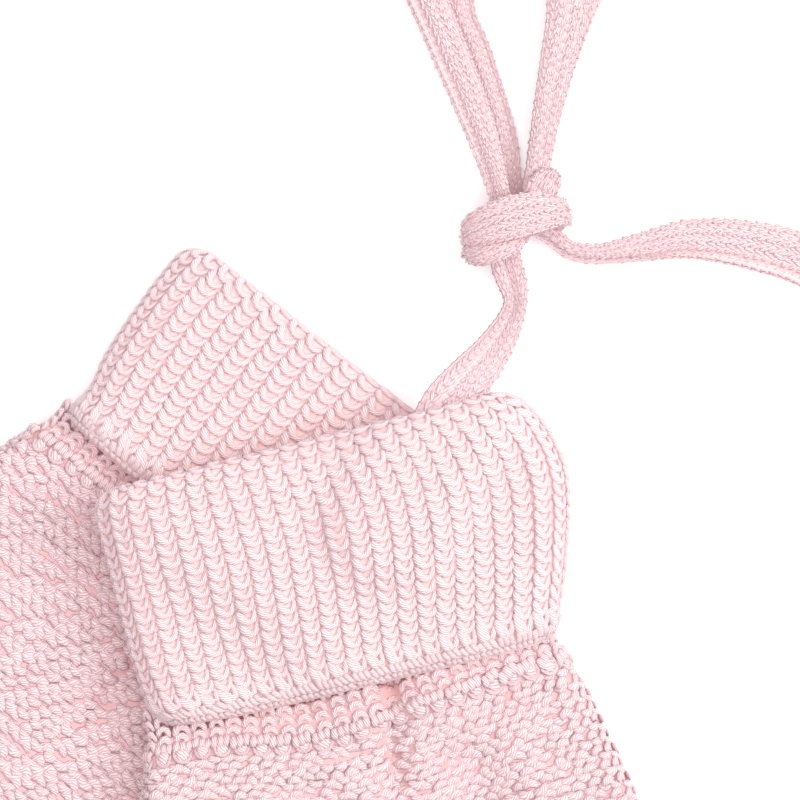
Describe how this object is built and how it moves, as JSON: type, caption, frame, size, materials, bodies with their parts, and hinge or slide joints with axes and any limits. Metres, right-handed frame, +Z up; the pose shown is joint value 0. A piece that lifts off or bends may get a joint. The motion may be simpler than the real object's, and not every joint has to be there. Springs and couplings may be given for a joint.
{
  "type": "pair of baby mittens",
  "caption": "Knitted baby mittens with turned-down ribbed cuffs, laid flat one over the other, joined by a flat knitted cord tied in a bow.",
  "frame": {"origin": "on the table, under the middle of the box of the two mittens, the cord left out", "axes": "+Z up from the table; +Y away from the fingertips of the front mitten, towards the bow; +X to the right as they are seen from above"},
  "size_m": [0.1885, 0.258, 0.0242],
  "materials": {
    "rib_knit": "pale pink glossy cotton yarn in a ribbed knit",
    "purl_knit": "pale pink glossy cotton yarn, purl side out",
    "cord_knit": "pale pink glossy cotton yarn in a fine flat knitted tube"
  },
  "bodies": {
    "root": {"front_cuff": "rib_knit", "front_hand": "purl_knit", "rear_cuff": "rib_knit", "rear_hand": "purl_knit", "cord_stem": "cord_knit", "cord_knot": "cord_knit", "cord_loop_a": "cord_knit", "cord_loop_b": "cord_knit", "cord_tail": "cord_knit"}
  },
  "joints": []
}
